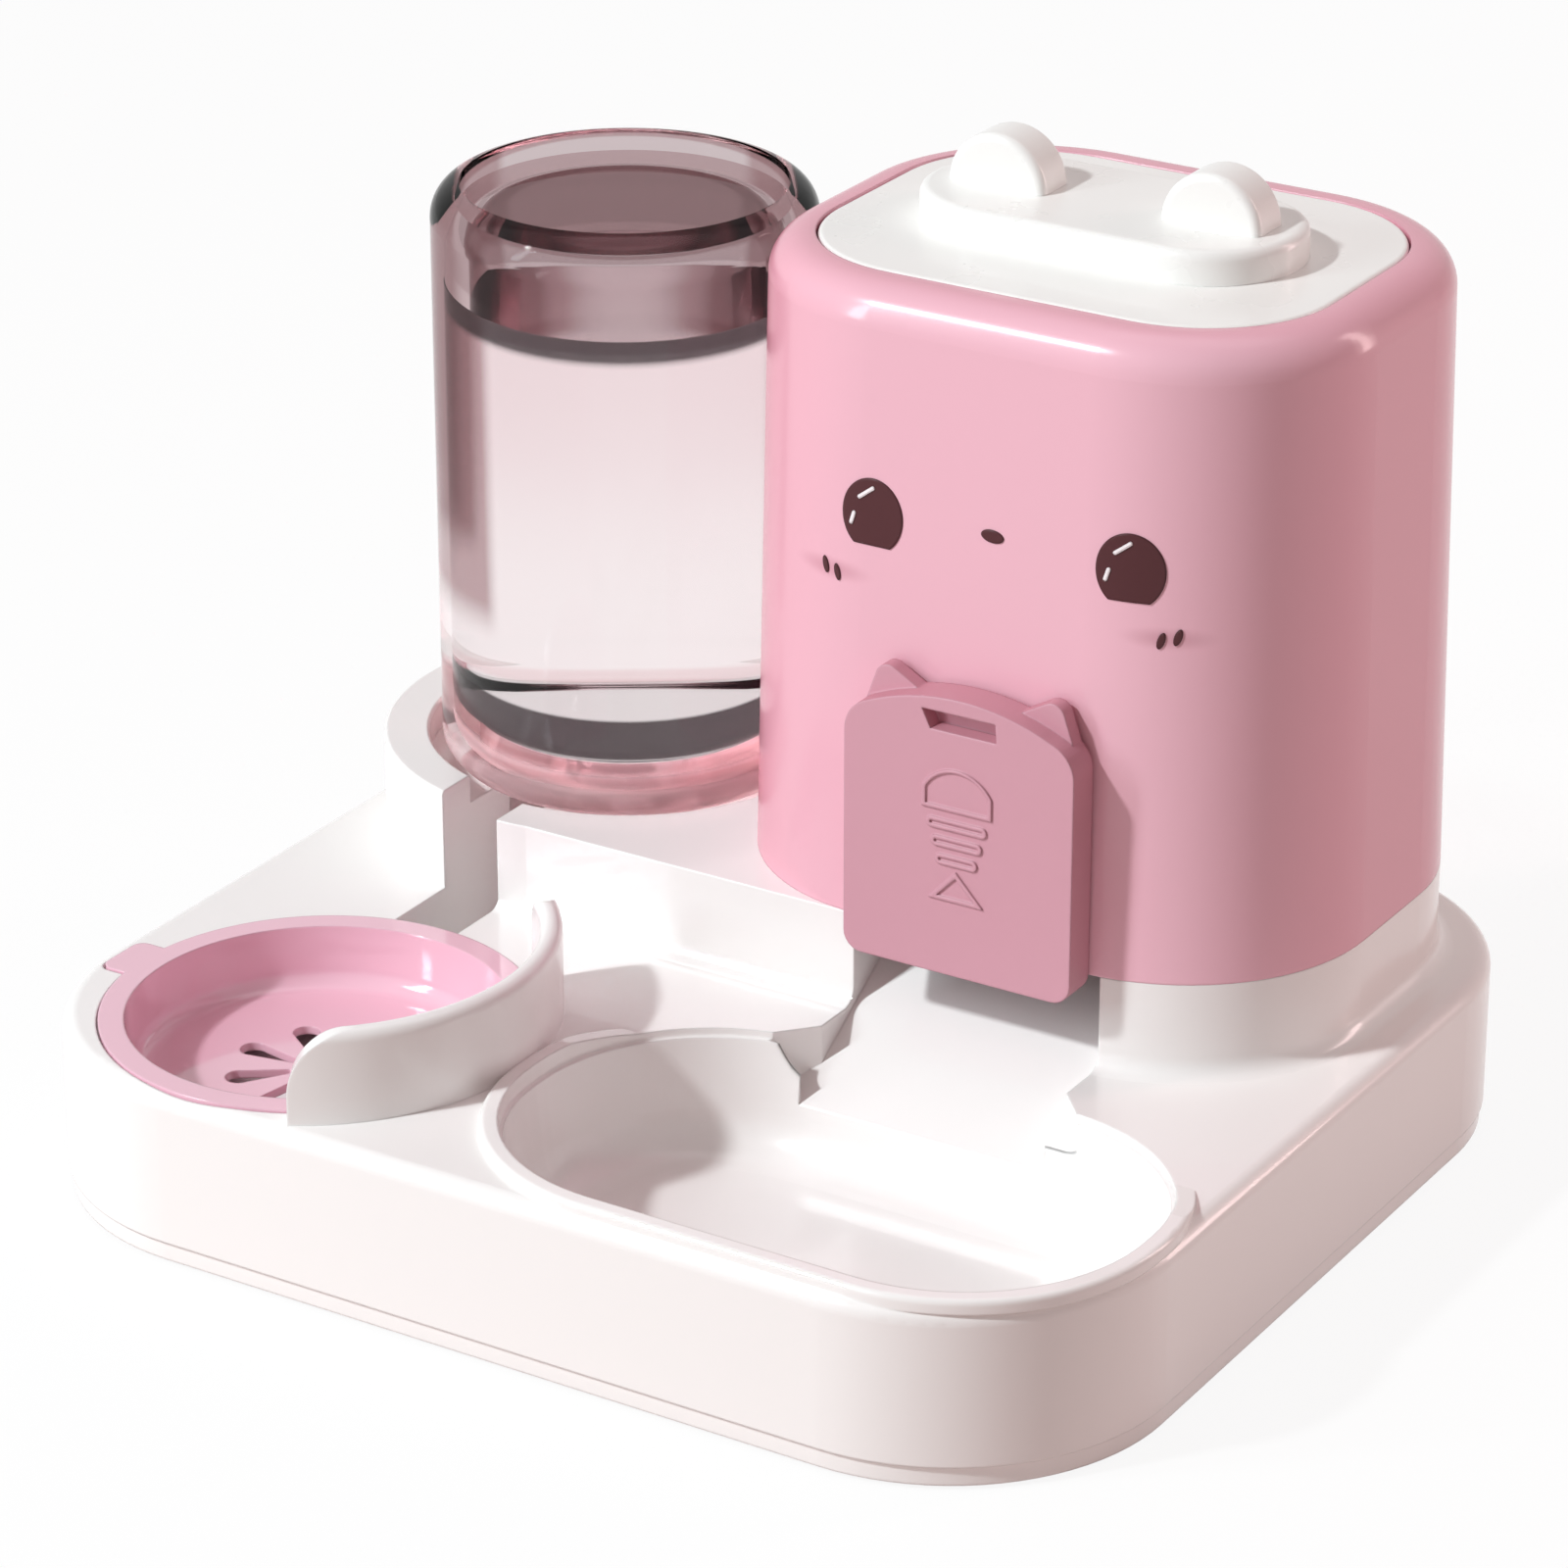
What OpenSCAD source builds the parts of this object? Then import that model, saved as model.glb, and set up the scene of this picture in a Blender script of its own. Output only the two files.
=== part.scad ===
// Gravity feeder for a cat or small dog: a moulded tray with a food bowl,
// a lift-out water bowl, a lidded food tank with a sliding gate and an
// upside-down water bottle that stands in a socket on the deck.
// Millimetres, Z up, origin on the table under the middle of the tray.

/* [Tray] */
// Width of the tray, left to right
tray_w = 300; // [285:1:330]
// Depth of the tray, front to back
tray_d = 271; // [270:1:300]
// Radius of the tray's corners seen from above
tray_r = 58; // [45:1:70]
// Height of the tray's side above the bottom plate
tray_h = 40; // [36:1:50]
// Radius of the tray's top edge
tray_edge = 4; // [2:0.5:6]
// Wall of the moulded tray
tray_wall = 2.6; // [2:0.2:4]

/* [Layout] */
// From the tray's left edge to the middle of the water bowl
bowl_side = 65; // [62:1:70]
// From the tray's front edge to the middle of the water bowl
bowl_front = 56; // [56:1:64]
// From the tray's right edge to the food bowl
food_side = 6; // [5:0.5:12]
// From the tray's front edge to the food bowl
food_front = 8; // [7:0.5:14]
// From the tray's left edge to the middle of the bottle
socket_side = 68; // [66:1:72]
// From the tray's back edge to the middle of the bottle
socket_back = 78.5; // [76:0.5:90]
// Gap between the bottle and the tank
tank_gap = 6.5; // [5.5:0.5:12]
// From the tray's back edge to the tank
tank_back = 9; // [8:0.5:20]
// How far the gate is to the right of the tank's middle
gate_shift = 3; // [0:0.5:6]
// How far the eyes are to the right of the tank's middle
face_shift = 6.5; // [0:0.5:8]

/* [Deck] */
// Height of the deck above the tray's floor
deck_h = 24.3; // [20:0.5:32]
// Radius of the hollow foot where the deck meets the floor
deck_foot = 4.5; // [2:0.5:6]
// Width of the bridge that joins the tank's plinth to the bottle socket, behind
bridge_d = 121; // [100:1:126]

/* [Food bowl] */
// Length of the food bowl, left to right
food_w = 164; // [140:1:168]
// Width of the food bowl, front to back
food_d = 97; // [84:1:100]
// Depth of the food bowl below the tray's floor
food_depth = 31; // [20:1:34]
// Radius round the bottom of the food bowl
food_floor_r = 12; // [5:1:16]
// Height of the lip in front of the food bowl
lip_h = 2.6; // [1:0.2:4]
// Width of the lip round the food bowl
lip_w = 5.4; // [4:0.2:6]

/* [Chute] */
// Width of the chute under the gate
chute_w = 68; // [60:1:76]
// Slope of the chute and the feed ramp
feed_slope = 32; // [26:1:36]

/* [Water bowl] */
// Outer radius of the water bowl's rim
bowl_r = 53.5; // [46:0.5:56]
// Width of the water bowl's flat rim
bowl_rim = 3.6; // [2.5:0.1:5]
// Thickness of the water bowl
bowl_wall = 2.2; // [1.6:0.1:3]
// Depth of the water bowl below its rim
bowl_depth = 16; // [12:0.5:18]
// Number of petal slots in the water bowl's floor
petals = 8; // [5:1:10]
// Length of the lift tab beyond the rim
tab_len = 7; // [4:0.5:8]
// Width of the lift tab
tab_w = 16; // [12:1:24]

/* [Splash guard] */
// Height of the splash guard above the tray's floor
guard_h = 24; // [14:1:34]
// Thickness of the splash guard
guard_t = 5.6; // [4:0.2:7]
// Start and end of the guard round the water bowl, in degrees
guard_from = -61; // [-75:1:-40]
guard_to = 50; // [30:1:60]

/* [Bottle] */
// Outer radius of the bottle
bottle_r = 49; // [44:0.5:50]
// Wall of the thick clear bottle
bottle_wall = 9.5; // [3:0.5:11]
// Height of the bottle above its seat
bottle_h = 156; // [120:1:190]
// Radius of the bottle's base edge, which is at the top in use
bottle_edge = 9; // [8:1:14]
// Depth of the hollow base, which is on top in use
punt_depth = 6; // [3:0.5:8]
// Radius of the bottle's shoulder, which is at the bottom in use
bottle_shoulder = 9; // [6:1:12]
// Outer radius of the neck
neck_r = 17; // [16:0.5:19]
// Wall of the neck
neck_wall = 2.5; // [2:0.1:3]
// Length of the neck below the seat
neck_len = 19.5; // [18:0.5:22]

/* [Socket] */
// Depth of the bottle's seat below the deck
seat_drop = 5; // [3:0.5:8]
// Height of the collar above the tray's floor
collar_h = 27; // [26:1:40]
// Thickness of the collar
collar_t = 11.8; // [5:0.5:12]
// Gap between the bottle and the collar
collar_gap = 3.4; // [1:0.5:6]
// Radius of the drop well round the cap
drop_r = 36; // [30:0.5:38]
// Radius of the pin that opens the valve
pin_r = 3.5; // [2.5:0.1:4.5]
// Width of the water channel
channel_w = 18; // [10:1:20]
// Depth of the water channel below the tray's floor
channel_depth = 22; // [19:1:25]

/* [Cap and valve] */
// Outer radius of the bottle cap
cap_r = 21.5; // [20:0.5:25]
// Length of the bottle cap's skirt
cap_h = 15; // [12:0.5:17]
// Thickness of the cap's end
cap_end = 2.5; // [2:0.1:3.5]
// Radius of the valve's hole
valve_hole = 6.5; // [5:0.5:7]
// Radius of the valve's stem
stem_r = 2; // [1.5:0.1:2.5]
// How far the pin in the socket lifts the valve
valve_lift = 3; // [2:0.5:4]
// Wire of the valve's spring
spring_wire = 0.8; // [0.5:0.1:1]

/* [Tank] */
// Width of the tank at its foot
tank_w = 163; // [150:1:170]
// Depth of the tank at its foot
tank_d = 133; // [126:1:136]
// Radius of the tank's corners
tank_r = 51; // [40:1:58]
// Height of the tank
tank_h = 160; // [130:1:200]
// Wall of the tank
tank_wall = 2.8; // [2:0.2:4]
// Lean of the tank's walls, in degrees
tank_lean = 1.1; // [0:0.1:2]
// Radius of the tank's shoulder
tank_edge = 10; // [6:0.5:12]
// Width of the outlet behind the gate
outlet_w = 43; // [30:1:44]
// Height of the outlet above the deck
outlet_h = 24; // [14:1:30]

/* [Gate] */
// Width of the gate
gate_w = 62.5; // [62:0.5:66]
// Height of the gate without its ears
gate_h = 72; // [66:1:80]
// Thickness of the gate, front to back
gate_t = 9.3; // [9:0.1:12]
// Wall of the gate
gate_wall = 2.4; // [1.8:0.2:2.6]
// Radius of the arc along the gate's top
gate_arc = 62; // [50:1:90]
// Height of the gate's lower edge below the deck at rest
gate_low = 4.5; // [3:0.5:8]
// Height of the gate's ears above its shoulders
gate_ear = 10; // [7:0.5:12]
// How far the gate can be lifted
gate_up = 15; // [8:1:18]
// Depth of the lips inside the gate that run behind the rails
lip_in = 2.4; // [1.8:0.1:3]
// Thickness of those lips
lip_t = 1.6; // [1.2:0.1:2]

/* [Lid] */
// Width of the lid
lid_w = 133; // [126:1:136]
// Depth of the lid
lid_d = 101; // [92:1:103]
// Radius of the lid's corners
lid_r = 34; // [26:1:38]
// Thickness of the lid
lid_t = 3; // [2:0.2:4]
// Length of the grip on the lid
grip_w = 99; // [80:1:104]
// Width of the grip on the lid
grip_d = 48; // [38:1:54]
// Height of the grip on the lid
grip_h = 8.4; // [5:0.2:12]
// Radius of the two round ears on the grip
ear_r = 13.3; // [9:0.5:14]
// Thickness of the two ears
ear_t = 13; // [8:0.5:16]
// Distance between the two ears, middle to middle
ear_gap = 57.8; // [44:1:64]
// Height of an ear's middle above the grip
ear_rise = 0; // [-1:0.2:3]
// Length of the plug under the lid
plug_h = 9; // [6:0.5:14]

/* [Printed face] */
// Distance between the eyes, middle to middle
eye_gap = 68.5; // [50:0.5:72]
// Width of an eye
eye_w = 16.6; // [10:0.2:20]
// Height of an eye
eye_h = 18.8; // [18:0.2:24]
// Height of the eyes above the deck
eye_z = 104; // [90:1:115]
// Thickness of the printed film
print_t = 0.25; // [0.2:0.05:0.4]

/* [Bottom] */
// Height of the bottom plate's rim
plate_h = 5; // [4:0.5:8]
// Floor of the bottom plate
plate_floor = 2.4; // [2:0.2:3]
// Step between the tray's side and the bottom plate
plate_step = 0.8; // [0.4:0.1:1.5]
// Radius of a rubber foot
foot_r = 8; // [6:0.5:10]
// Thickness of a rubber foot
foot_t = 2.4; // [2:0.1:3]
// How far a foot stands out below the plate
foot_proud = 1.2; // [0.8:0.1:1.6]
// Radius of a screw's thread
screw_r = 1.5; // [1.2:0.1:2]
// Length of a screw under its head
screw_len = 11; // [9:0.5:14]
// Length of the screws that hold the tank
tank_screw_len = 10; // [8:0.5:12]

/* [Clearances] */
// Gap round pieces that lift out
loose = 0.5; // [0.3:0.1:0.8]
// Gap of pieces that slide
slide_gap = 0.4; // [0.3:0.05:0.6]
// Gap between a screw's plain shank and its pilot hole
thread_gap = 0.04; // [0.02:0.01:0.1]
// Gap of the valve's stem in its guide
guide_gap = 0.08; // [0.05:0.01:0.1]

/* [Hidden] */
$fn = 96;
e = 0.01;

// Colours seen in the photograph
white = [0.95, 0.93, 0.92];
pink = [0.93, 0.66, 0.75];
dusky_pink = [0.82, 0.62, 0.68];
smoky = [0.72, 0.60, 0.60, 0.45];
rubber_grey = [0.35, 0.35, 0.36];
clear_white = [0.90, 0.92, 0.93, 0.8];
steel = [0.75, 0.76, 0.78];
eye_brown = [0.30, 0.15, 0.15];

// Heights that the pieces stack up to
plate_z = foot_proud;
tray_z = plate_z + plate_h;
floor_z = tray_z + tray_h;
deck_z = floor_z + deck_h;
tank_top = deck_z + tank_h;
seat_z = deck_z - seat_drop;
well_floor = floor_z - channel_depth;
rim_proud = 0.5;
rim_z = floor_z + rim_proud;
neck_z = seat_z - neck_len;
gasket_t = 1;
gasket_in = 0.2;
cage_flange = 1;
cap_in = neck_z - gasket_t - cage_flange;
cap_out = cap_in - cap_end;
rest_gap = 0.3;
stem_proud = 1;
stem_low = cap_out - stem_proud;
pin_top = stem_low - rest_gap;
lid_proud = 0.1;
lid_z = tank_top + lid_proud - lid_t;
seal_t = 1.5;
ledge_z = lid_z - seal_t - rest_gap;

// Places seen from above
socket_x = -tray_w/2 + socket_side;
socket_y = tray_d/2 - socket_back;
tank_x = socket_x + bottle_r + tank_gap + tank_w/2;
tank_y = tray_d/2 - tank_back - tank_d/2;
deck_front = tank_y - tank_d/2;
gate_x = tank_x + gate_shift;
bowl_x = -tray_w/2 + bowl_side;
bowl_y = -tray_d/2 + bowl_front;
food_x = tray_w/2 - food_side - food_w/2;
food_y = -tray_d/2 + food_front + food_d/2;
food_flat = 2;
food_r = food_d/2 - food_flat;
channel_off = 4.8;
channel_x = bowl_x - channel_off;
deck_left = channel_x + channel_w/2;

// A flat-topped half profile for a block: radius r, height h, top edge f, lean a
module soft_profile(r, h, f, a = 0) {
    cx = r - (h - f)*tan(a) - f/cos(a);
    polygon([[0, 0], [r, 0], [cx + f*cos(a), h - f + f*sin(a)], [cx, h], [0, h]]);
    translate([cx, h - f]) circle(f);
}

// The same with a hollow foot of radius f that spreads onto the floor
module foot_profile(r, h, f) {
    square([r, h]);
    difference() {
        square([r + f, f]);
        translate([r + f, f]) circle(f);
    }
}

// A block with round corners whose sides follow the half profile in children
module swept_block(w, d, r, h) {
    for (sx = [-1, 1], sy = [-1, 1])
        translate([sx*(w/2 - r), sy*(d/2 - r), 0]) rotate_extrude() children();
    rotate([90, 0, 0]) linear_extrude(d - 2*r, center = true) across(w/2 - r, h) children();
    rotate([90, 0, 90]) linear_extrude(w - 2*r, center = true) across(d/2 - r, h) children();
}

// The half profile on both sides of a filled middle
module across(half, h) {
    for (m = [0, 1]) mirror([m, 0]) translate([half, 0]) children();
    translate([-half, 0]) square([2*half, h]);
}

module round_block(w, d, r, h, f, a = 0)
    swept_block(w, d, r, h) soft_profile(r, h, f, a);

// The same block upside down, for a hollow with its mouth at z = 0
module round_hollow(w, d, r, h, f, a = 0)
    mirror([0, 0, 1]) round_block(w, d, r, h, f, a);

module ring(r_out, r_in, h)
    difference() {
        cylinder(r = r_out, h = h);
        translate([0, 0, -1]) cylinder(r = r_in, h = h + 2);
    }

// Screw places: under the tray's skin, and under the tank's corners
post_r = 4.2;
post_left = 14;
post_right = 10.5;
post_back = 12;
post_y = 2;
corner_in = 34;
screw_places = [
    [-tray_w/2 + post_left, post_y], [-tray_w/2 + corner_in, tray_d/2 - post_left],
    [tray_w/2 - corner_in, tray_d/2 - post_back], [tray_w/2 - post_right, post_y],
    [bowl_x + bowl_r + tray_wall, bowl_y + post_y], [bowl_x + bowl_r + tray_wall, tray_d/2 - post_back]
];
tank_boss_r = 5.8;
tank_boss_in = 20.5;
tank_screw_places = [for (sx = [-1, 1], sy = [-1, 1])
    [tank_x + sx*(tank_w/2 - tank_boss_in), tank_y + sy*(tank_d/2 - tank_boss_in)]];
foot_places = [for (sx = [-1, 1], sy = [-1, 1])
    [sx*(tray_w/2 - corner_in), sy*(tray_d/2 - corner_in)]];
screw_gap = 0.3;
head_r = 3;
head_t = 1.3;
head_gap = 0.1;

// Chute: its floor meets the deck at chute_back and falls towards the bowl
chute_in = 40;
chute_reach = 22;
chute_back = deck_front + chute_in;
chute_end = food_y + food_d/2 - chute_reach;
chute_flare = 9;
module chute_side(drop)
    rotate([90, 0, 90]) linear_extrude(chute_w + 6*chute_flare, center = true)
        polygon([
            [chute_back, deck_z - drop], [chute_back, deck_z + tank_h],
            [chute_end, deck_z + tank_h],
            [chute_end, deck_z - drop - (chute_back - chute_end)*tan(feed_slope)]
        ]);
module chute_mouth(half) {
    mouth_y = food_y + food_d/2;
    polygon([
        [-half, mouth_y + chute_flare], [-half - chute_flare, mouth_y - 1],
        [half + chute_flare, mouth_y - 1], [half, mouth_y + chute_flare]
    ]);
}
module chute_space(grow) {
    half = chute_w/2 + grow;
    translate([gate_x, 0, 0]) intersection() {
        chute_side(grow/cos(feed_slope));
        union() {
            translate([-half, chute_end, 0]) cube([2*half, chute_back + grow - chute_end, deck_z + e]);
            linear_extrude(floor_z + grow + e) chute_mouth(half);
        }
    }
}

food_lean = 6;
module food_space(grow)
    translate([food_x, food_y, floor_z])
        round_hollow(food_w + 2*grow, food_d + 2*grow, food_r + grow, food_depth + grow,
            food_floor_r, food_lean);

well_r = bowl_r - bowl_rim;
module well_space(grow) {
    translate([bowl_x, bowl_y, well_floor - grow])
        cylinder(r = well_r + grow, h = channel_depth + grow);
    translate([channel_x - channel_w/2 - grow, bowl_y, well_floor - grow])
        cube([channel_w + 2*grow, socket_y - bowl_y, channel_depth + collar_h + 1 + grow]);
    translate([socket_x, socket_y, well_floor - grow])
        cylinder(r = drop_r + grow, h = seat_z - well_floor + grow);
}

collar_in = bottle_r + collar_gap;
collar_out = collar_in + collar_t;
collar_from = 56;
collar_to = 262;
collar_chamfer = 1;
module collar_ring()
    translate([socket_x, socket_y, floor_z]) rotate([0, 0, collar_from])
        rotate_extrude(angle = collar_to - collar_from) difference() {
            translate([collar_in - 1, 0]) square([collar_t + 1, collar_h]);
            for (r = [collar_in, collar_out]) translate([r, collar_h]) rotate(45)
                square(collar_chamfer, center = true);
        }

module deck_block() {
    foot = deck_foot;
    translate([tank_x, tank_y, floor_z - e])
        swept_block(tank_w + 2*foot, tank_d + 2*foot, tank_r + foot, deck_h)
            foot_profile(tank_r, deck_h, foot);
    translate([deck_left, deck_front, floor_z - e]) cube([tank_x - deck_left, bridge_d, deck_h]);
    translate([deck_left, deck_front, floor_z - e]) rotate([90, 0, 90])
        linear_extrude(tank_x - deck_left) mirror([1, 0]) difference() {
            square(foot);
            translate([foot, foot]) circle(foot);
        }
    translate([socket_x, socket_y, floor_z - e]) {
        cylinder(r = collar_out, h = deck_h - seat_drop);
        intersection() {
            cylinder(r = collar_out, h = deck_h);
            translate([deck_left - socket_x, -collar_out, 0])
                cube([2*collar_out, 2*collar_out, deck_h]);
        }
    }
}

// The hollow under the tray's skin
module under_space() {
    translate([0, 0, tray_z - e])
        round_block(tray_w - 2*tray_wall, tray_d - 2*tray_wall, tray_r - tray_wall,
            tray_h - tray_wall, tray_edge);
    translate([tank_x, tank_y, floor_z - tray_wall - 1])
        round_block(tank_w - 2*tray_wall, tank_d - 2*tray_wall, tank_r - tray_wall, deck_h + 1, 2);
    translate([deck_left + tray_wall, deck_front + tray_wall, floor_z - tray_wall - 1])
        cube([tank_x - deck_left - 2*tray_wall, bridge_d - 2*tray_wall, deck_h + 1]);
    translate([socket_x, socket_y, floor_z - tray_wall - 1])
        cylinder(r = collar_out - tray_wall, h = deck_h - seat_drop + 1);
}

guard_gap = 1.2;
guard_front_r = guard_h*0.7;
guard_back_r = guard_h*0.3;
module guard() {
    inner = bowl_r + guard_gap;
    translate([bowl_x, bowl_y, floor_z - e]) difference() {
        rotate([0, 0, guard_from]) rotate_extrude(angle = guard_to - guard_from)
            translate([inner, 0]) {
                square([guard_t, guard_h - guard_t/2]);
                translate([guard_t/2, guard_h - guard_t/2]) circle(guard_t/2);
            }
        rotate([0, 0, guard_from]) guard_corner(inner, guard_front_r, 1);
        rotate([0, 0, guard_to]) guard_corner(inner, guard_back_r, -1);
    }
}

// What is cut off an end of the guard to round its top corner
module guard_corner(inner, corner, turn)
    translate([inner - 5, 0, guard_h - corner]) rotate([90, 0, 90]) difference() {
        translate([turn > 0 ? -2 : -corner, 0, 0]) cube([corner + 2, corner + 1, guard_t + 10]);
        translate([turn*corner, 0, -1]) cylinder(r = corner, h = guard_t + 12);
    }

lip_edge = 1.4;
lip_fade = 34;
module lip()
    translate([food_x, food_y, floor_z - 1]) difference() {
        round_block(food_w + 2*lip_w, food_d + 2*lip_w, food_r + lip_w, lip_h + 1, lip_edge);
        rotate([90, 0, 90]) linear_extrude(2*food_w, center = true)
            polygon([[0, lip_h + 3], [lip_fade, 0.5], [food_d, 0.5], [food_d, lip_h + 3]]);
    }

module base_tray() {
    color(white) difference() {
        union() {
            difference() {
                union() {
                    translate([0, 0, tray_z]) round_block(tray_w, tray_d, tray_r, tray_h, tray_edge);
                    deck_block();
                }
                difference() {
                    under_space();
                    food_space(tray_wall);
                    chute_space(tray_wall);
                    well_space(tray_wall);
                    translate([bowl_x, bowl_y, floor_z - bowl_wall - 2*tray_wall])
                        cylinder(r = bowl_r + tray_wall, h = bowl_wall + 2*tray_wall);
                    translate([socket_x, socket_y, seat_z - tray_wall])
                        cylinder(r = collar_in + tray_wall, h = deck_h);
                    for (p = screw_places) translate([p[0], p[1], 0])
                        cylinder(r = post_r, h = floor_z);
                }
            }
            collar_ring();
            guard();
            lip();
        }
        food_space(0);
        translate([food_x, food_y, floor_z + lip_h])
            round_hollow(food_w + 2, food_d + 2, food_r + 1, lip_h + 2, 0.5);
        chute_space(0);
        well_space(0);
        translate([bowl_x, bowl_y, rim_z - bowl_wall]) {
            cylinder(r = bowl_r + loose, h = bowl_wall);
            tab_shape(loose);
        }
        translate([socket_x, socket_y, seat_z]) cylinder(r = collar_in, h = collar_h);
        for (p = screw_places) translate([p[0], p[1], -e])
            cylinder(r = screw_r + thread_gap, h = plate_z + screw_len + 3);
        for (p = tank_screw_places) translate([p[0], p[1], floor_z])
            cylinder(r = screw_r + screw_gap, h = deck_h + 1);
    }
    color(white) translate([socket_x, socket_y, well_floor - e])
        cylinder(r = pin_r, h = pin_top - well_floor);
}

plate_wall = 2.5;
plate_edge = 0.5;
plate_in = plate_step + plate_wall;
module bottom_plate()
    color(white) difference() {
        translate([0, 0, plate_z])
            round_block(tray_w - 2*plate_step, tray_d - 2*plate_step,
                tray_r - plate_step, plate_h, plate_edge);
        difference() {
            translate([0, 0, plate_z + plate_floor])
                round_block(tray_w - 2*plate_in, tray_d - 2*plate_in, tray_r - plate_in, plate_h, plate_edge);
            for (p = screw_places) translate([p[0], p[1], 0]) cylinder(r = post_r, h = tray_z);
        }
        for (p = screw_places) translate([p[0], p[1], 0]) {
            cylinder(r = screw_r + screw_gap, h = tray_z + 1);
            cylinder(r = head_r + loose, h = plate_z + head_t + head_gap);
        }
        for (p = foot_places) translate([p[0], p[1], 0])
            cylinder(r = foot_r + head_gap, h = foot_t);
    }

// A flat-headed screw that points up from its head at z = 0
module screw(length) {
    cylinder(r = head_r, h = head_t);
    cylinder(r = screw_r, h = head_t + length);
}

module plate_screws()
    color(steel) for (p = screw_places) translate([p[0], p[1], plate_z + head_gap]) screw(screw_len);

foot_edge = 0.3;
module rubber_feet()
    color(rubber_grey) for (p = foot_places) translate([p[0], p[1], 0])
        rotate_extrude() soft_profile(foot_r, foot_t, foot_edge);

// The tank: a shell that is open below, with a ledge for the lid on top
module tank_form(grow)
    translate([tank_x, tank_y, deck_z])
        round_block(tank_w + 2*grow, tank_d + 2*grow, tank_r + grow, tank_h + grow,
            tank_edge + grow, tank_lean);
module lid_prism(grow, z, h)
    translate([tank_x, tank_y, z]) linear_extrude(h)
        rounded(lid_w + 2*grow, lid_d + 2*grow, lid_r + grow);
module rounded(w, d, r) {
    square([w - 2*r, d], center = true);
    square([w, d - 2*r], center = true);
    for (sx = [-1, 1], sy = [-1, 1]) translate([sx*(w/2 - r), sy*(d/2 - r)]) circle(r);
}
ledge_w = 5;
plug_in = ledge_w + 5*loose;
ledge_wall = 2.4;
lid_collar = loose + ledge_wall;

// Rails: a web with a wider head that the gate's lips slide behind
gate_in = gate_w/2 - gate_wall;
gate_z = deck_z - gate_low;
gate_back = deck_front - slide_gap;
rail_low = gate_z + gate_wall + gate_up + 4*slide_gap;
rail_h = 14.4;
rail_w = 4.5;
rail_t = 2;
rail_root = 1.8;
module gate_rails()
    for (s = [-1, 1]) translate([gate_x, 0, rail_low]) mirror([s < 0 ? 1 : 0, 0, 0]) {
        translate([gate_in - slide_gap - rail_w, gate_back - lip_t - slide_gap - e, 0])
            cube([rail_w - lip_in, lip_t + 2*slide_gap + rail_root, rail_h]);
        translate([gate_in - slide_gap - rail_w, gate_back - lip_t - slide_gap - rail_t, 0])
            cube([rail_w, rail_t, rail_h]);
    }

module food_tank()
    color(pink) difference() {
        union() {
            difference() {
                tank_form(0);
                difference() {
                    translate([0, 0, -e]) tank_form(-tank_wall);
                    lid_prism(lid_collar, ledge_z - tank_wall, tank_h);
                    for (p = tank_screw_places) translate([p[0], p[1], deck_z])
                        cylinder(r = tank_boss_r, h = tank_screw_len + 2);
                }
            }
            gate_rails();
        }
        lid_prism(loose, ledge_z, tank_h);
        lid_prism(-ledge_w, ledge_z - tank_h/2, tank_h);
        translate([gate_x - outlet_w/2, deck_front - 1, deck_z - 1])
            cube([outlet_w, tank_r/2, outlet_h + 1]);
        for (p = tank_screw_places) translate([p[0], p[1], deck_z - e])
            cylinder(r = screw_r + thread_gap, h = tank_screw_len);
    }

module tank_screws()
    color(steel) for (p = tank_screw_places)
        translate([p[0], p[1], deck_z - tray_wall - head_t]) screw(tray_wall + tank_screw_len - screw_r);

// What lies under the feed planes, lowered by t: they fall to the chute from all sides
module under_feed(t) {
    drop = t/cos(feed_slope);
    reach = tank_w;
    rise = reach*tan(feed_slope);
    translate([gate_x, 0, 0]) rotate([90, 0, 90]) linear_extrude(2*reach, center = true)
        polygon([[chute_back, deck_z - drop], [chute_back + reach, deck_z - drop + rise],
            [chute_back + reach, 0], [chute_back, 0]]);
    for (s = [-1, 1]) translate([gate_x, tank_y, 0]) mirror([s < 0 ? 1 : 0, 0, 0])
        rotate([90, 0, 0]) linear_extrude(2*reach, center = true)
            polygon([[chute_w/2, deck_z - drop], [chute_w/2 + reach, deck_z - drop + rise],
                [chute_w/2 + reach, 0], [chute_w/2, 0]]);
}

ramp_wall = 2.4;
module feed_ramp()
    color(white) difference() {
        intersection() {
            tank_form(-tank_wall - loose);
            under_feed(0);
        }
        intersection() {
            translate([0, 0, -e]) tank_form(-tank_wall - loose - ramp_wall);
            under_feed(ramp_wall);
        }
        for (p = tank_screw_places) translate([p[0], p[1], deck_z - 1])
            cylinder(r = tank_boss_r + loose, h = tank_screw_len + 4);
        translate([gate_x - chute_w/2, deck_front, deck_z - 1])
            cube([chute_w, chute_back - deck_front, tank_h]);
    }

// Points along an arc from angle a to angle b
function arc_points(c, r, a, b, n) = [for (i = [0:n]) let (t = a + (b - a)*i/n) c + r*[cos(t), sin(t)]];

// The gate's outline: a broad arc on top of straight sides, all corners round
module gate_outline(w, h, arc, shoulder, foot) {
    low = h - arc;
    side = w/2 - shoulder;
    zc = low + sqrt((arc - shoulder)^2 - side^2);
    turn = atan2(zc - low, side);
    polygon(concat(
        arc_points([w/2 - foot, foot], foot, -90, 0, 6),
        arc_points([side, zc], shoulder, 0, turn, 10),
        [for (q = arc_points([0, low], arc, turn, 180 - turn, 22)) if (abs(q[0]) < side) q],
        arc_points([-side, zc], shoulder, 180 - turn, 180, 10),
        arc_points([foot - w/2, foot], foot, 180, 270, 6)
    ));
}

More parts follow.
